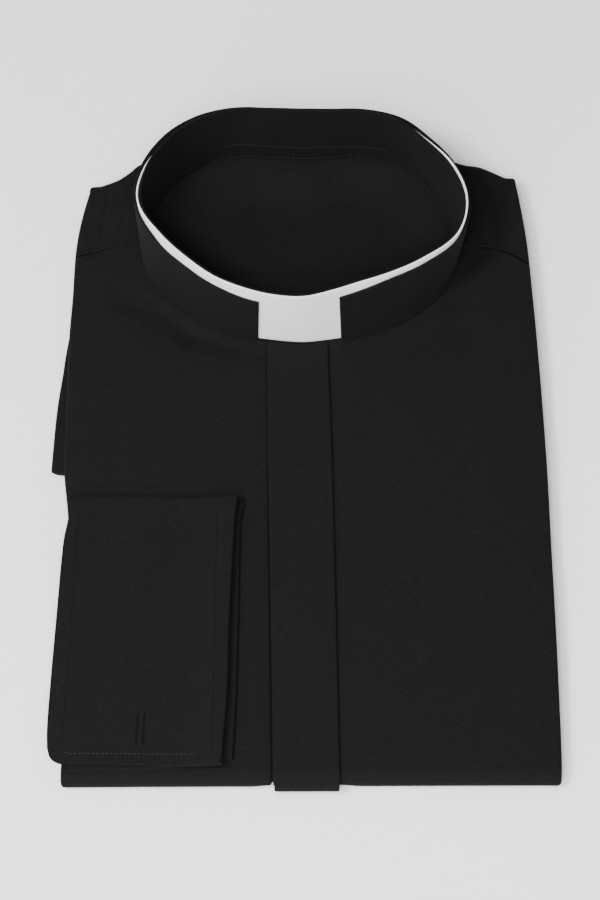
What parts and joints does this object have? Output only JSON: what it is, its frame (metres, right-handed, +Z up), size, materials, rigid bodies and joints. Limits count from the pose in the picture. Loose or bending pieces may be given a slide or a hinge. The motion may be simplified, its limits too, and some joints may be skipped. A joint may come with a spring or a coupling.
{
  "type": "folded clergy shirt",
  "caption": "Black long-sleeved clergy shirt folded flat, with a standing black band collar, a white collar insert showing at the front gap, a fly placket and a double cuff laid on the front.",
  "frame": {"origin": "on the surface that the shirt lies on, under the middle of the whole folded shirt", "axes": "+Z up, +Y along the body toward the collar, +X toward the wearer's left side"},
  "size_m": [0.2381, 0.3516, 0.0559],
  "materials": {
    "black_cloth": "black woven poly-cotton, matt with a faint sheen, sewn with black thread",
    "white_insert": "smooth white satin collar insert"
  },
  "bodies": {
    "root": {"front_left": "black_cloth", "front_right": "black_cloth", "placket": "black_cloth", "yoke": "black_cloth", "back": "black_cloth", "collar_inner": "black_cloth", "collar_insert": "white_insert", "collar_outer": "black_cloth", "sleeve_right": "black_cloth", "sleeve_left": "black_cloth", "cuff_right": "black_cloth", "folded_layers": "black_cloth"}
  },
  "joints": []
}
